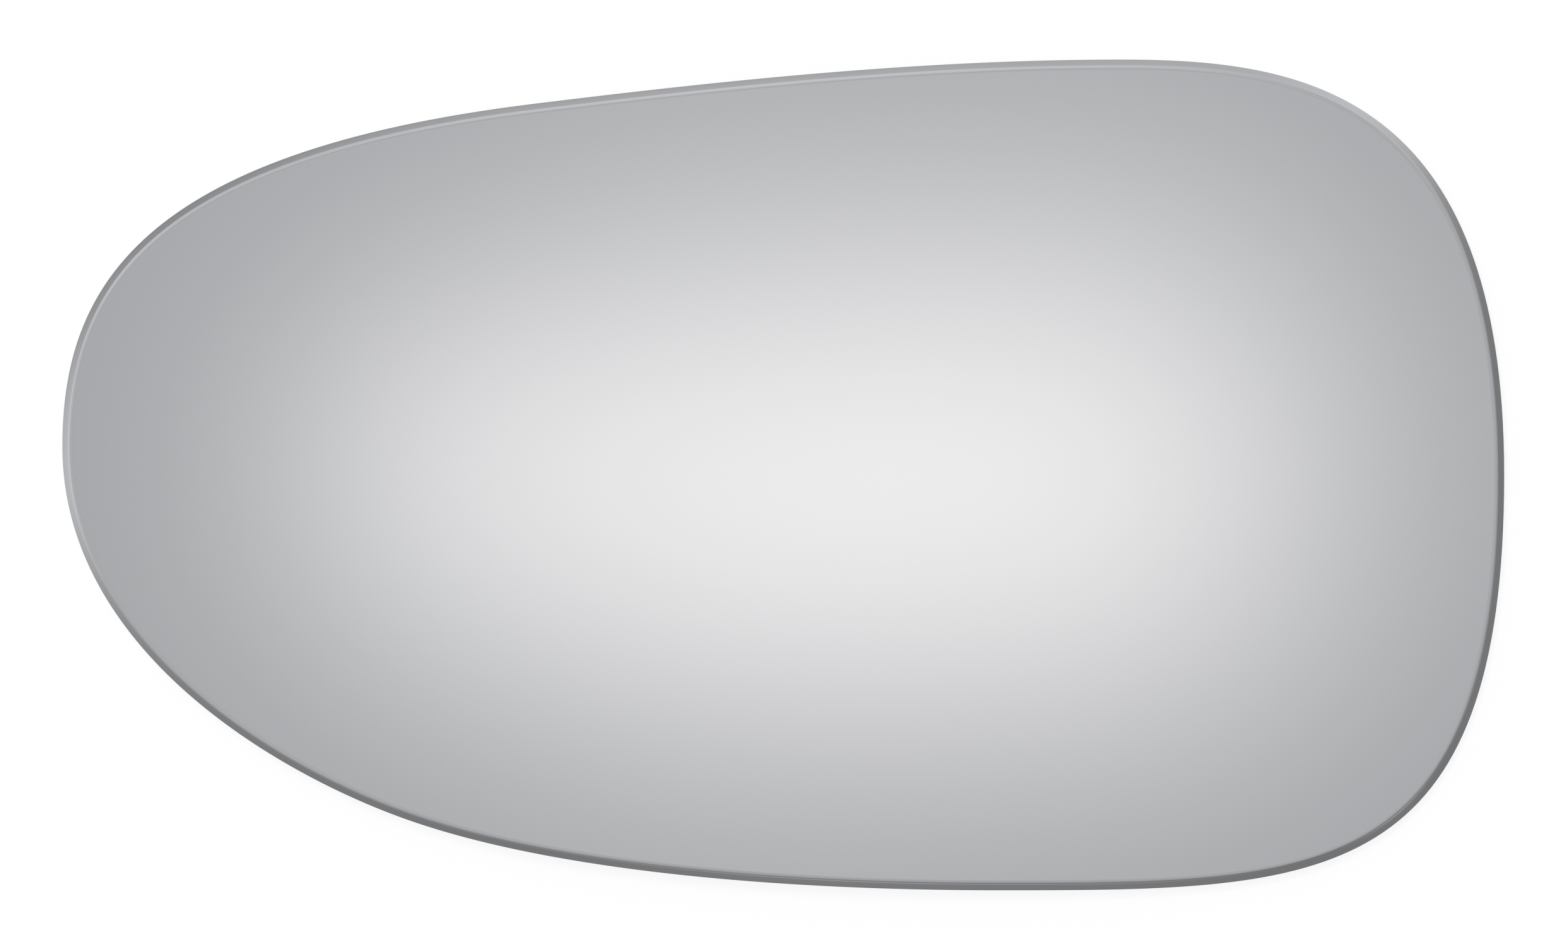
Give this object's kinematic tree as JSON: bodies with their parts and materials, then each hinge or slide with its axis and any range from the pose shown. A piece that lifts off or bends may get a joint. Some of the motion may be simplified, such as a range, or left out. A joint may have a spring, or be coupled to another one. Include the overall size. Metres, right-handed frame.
{
  "type": "car door mirror glass",
  "caption": "Convex car door mirror glass: a thin bent sheet with a narrow nose and a broad end, a mirrored front face, a ground bevel round its rim and a back for bonding to a carrier.",
  "frame": {"origin": "centre of the outline's box, on the surface that the back edge rests on", "axes": "+X from the narrow nose to the broad end, +Y up the mirror as it hangs on the door, +Z out of the mirror face"},
  "size_m": [0.178, 0.1024, 0.0052],
  "materials": {
    "mirror_glass": "front-coated chromium mirror film on float glass, with a ground rim"
  },
  "bodies": {
    "root": {"mirror_glass": "mirror_glass"}
  },
  "joints": []
}
